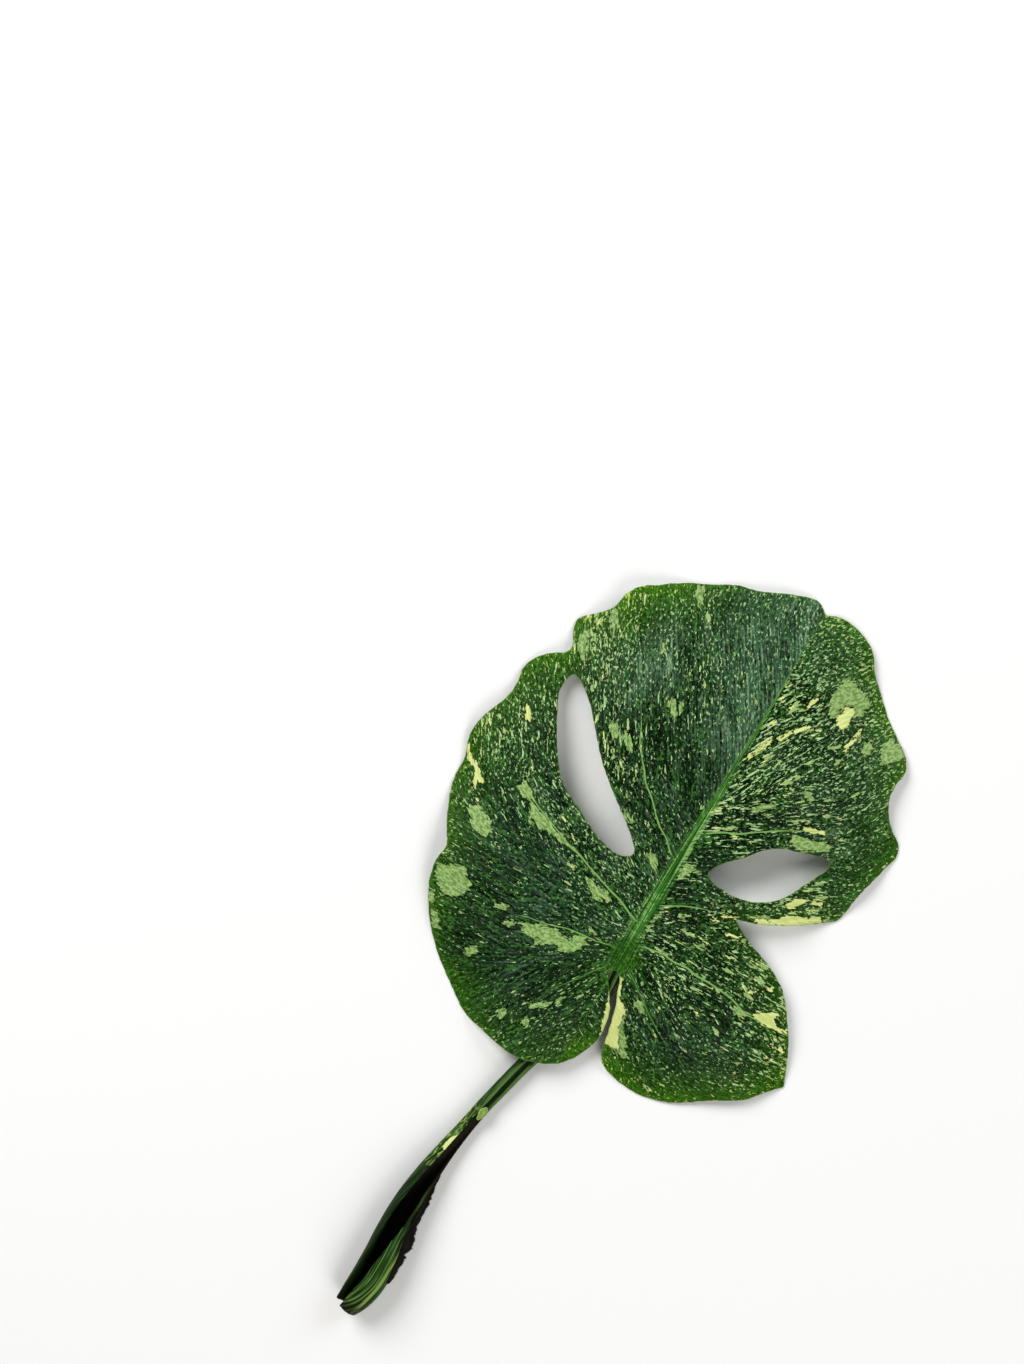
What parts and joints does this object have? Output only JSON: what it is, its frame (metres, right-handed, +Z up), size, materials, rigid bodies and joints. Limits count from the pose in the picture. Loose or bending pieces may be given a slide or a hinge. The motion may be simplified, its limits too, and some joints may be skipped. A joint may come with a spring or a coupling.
{
  "type": "monstera leaf",
  "caption": "Cut split leaf lying face up, speckled green and cream, with holes in the blade, a groove-topped stalk and an open sheath.",
  "frame": {"origin": "middle of the leaf's bounding box in plan, at the surface it lies on", "axes": "+Y along the leaf from the base of its stalk to the tip of the blade, +X to the leaf's right seen from above, +Z up, out of the upper side"},
  "size_m": [0.208, 0.3934, 0.0217],
  "materials": {
    "leaf_blade": "leaf tissue, waxy and satin above, speckled light green and cream on dark green, paler and duller below",
    "petiole": "smooth stalk skin, satin, striped along its length in green, dark green and cream",
    "withered_wing": "dead sheath tissue, dry and brown, papery"
  },
  "bodies": {
    "root": {"leaf_blade": "leaf_blade", "petiole": "petiole", "withered_wing": "withered_wing"}
  },
  "joints": []
}
